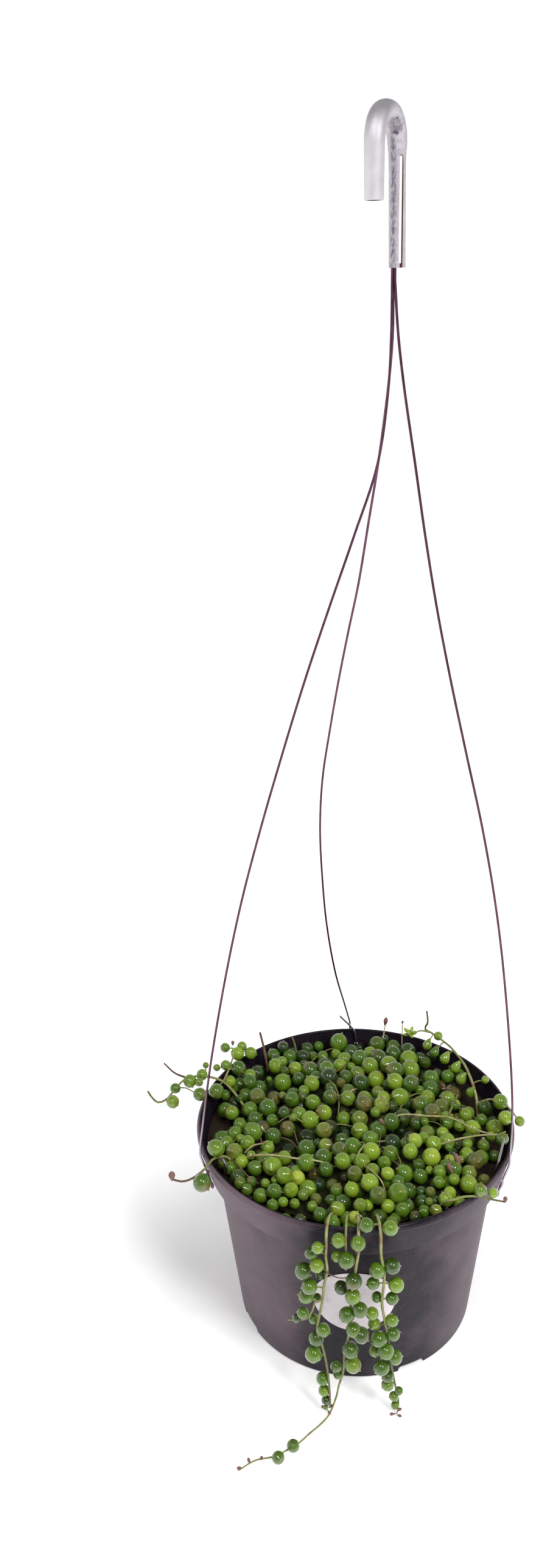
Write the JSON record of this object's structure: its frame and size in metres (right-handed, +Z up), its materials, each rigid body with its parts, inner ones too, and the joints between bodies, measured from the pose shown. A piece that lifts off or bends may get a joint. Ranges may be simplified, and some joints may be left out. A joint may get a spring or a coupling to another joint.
{
  "type": "potted string of pearls plant on a wire hanger",
  "caption": "Trailing succulent with round pearl leaves in a round tapered black nursery pot, strands over the front rim, with a wire hanger that ends in a bent tube hook.",
  "frame": {"origin": "centre of the pot's underside, on the surface it stands on", "axes": "+Z up along the pot's axis, -Y towards the side with the label and the hanging strands, +X to the right seen from that side"},
  "size_m": [0.1809, 0.183, 0.536],
  "materials": {
    "pot_plastic": "dark grey with a faint purple cast, fine satin",
    "soil": "dark brown potting mix with light chips",
    "label": "blank white sticker, semi-matte",
    "pearl_leaves": "waxy green pearls on pale green stems",
    "wire_steel": "galvanised wire",
    "hook_aluminium": "satin tube, crimped"
  },
  "bodies": {
    "root": {"pot": "pot_plastic", "soil": "soil", "label": "label", "hook": "hook_aluminium", "wire_left": "wire_steel", "wire_back": "wire_steel", "wire_right": "wire_steel", "pearl_mat": "pearl_leaves", "strand_front_left": "pearl_leaves", "strand_front_short": "pearl_leaves", "strand_front_long": "pearl_leaves", "strand_front_right": "pearl_leaves", "tendril_left": "pearl_leaves", "tendril_left_front": "pearl_leaves", "tendril_right_front": "pearl_leaves", "tendril_back_right": "pearl_leaves"}
  },
  "joints": []
}
